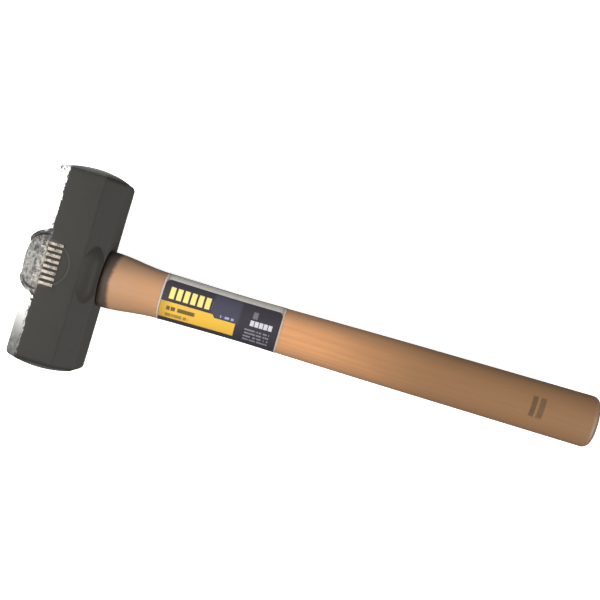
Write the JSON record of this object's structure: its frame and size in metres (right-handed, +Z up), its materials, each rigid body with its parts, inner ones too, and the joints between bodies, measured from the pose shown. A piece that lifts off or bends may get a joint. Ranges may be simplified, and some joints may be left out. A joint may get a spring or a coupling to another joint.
{
  "type": "sledge hammer",
  "caption": "Double-faced sledge hammer with an octagonal forged steel head wedged on an oval wooden handle that carries a printed label.",
  "frame": {"origin": "on the resting surface, under the middle of the hammer's length, with the hammer lying on one cheek of its head", "axes": "+X along the handle from the head to the butt, +Y along the head from one striking face to the other, +Z up out of the upper cheek"},
  "size_m": [0.497, 0.174, 0.0591],
  "materials": {
    "forged_steel": "dark lacquer over a rough forging, worn to grey on the bosses and the long corners",
    "hardwood": "satin varnished, straight grain",
    "wedge_wood": "bare end grain",
    "wedge_steel": "dull stamped steel",
    "printed_label": "dark blue print with a yellow panel",
    "clear_film": "clear glossy film"
  },
  "bodies": {
    "root": {"hammer_head": "forged_steel", "handle": "hardwood", "wood_wedge": "wedge_wood", "steel_wedge_left": "wedge_steel", "steel_wedge_right": "wedge_steel", "label": "printed_label", "label_film": "clear_film"}
  },
  "joints": []
}
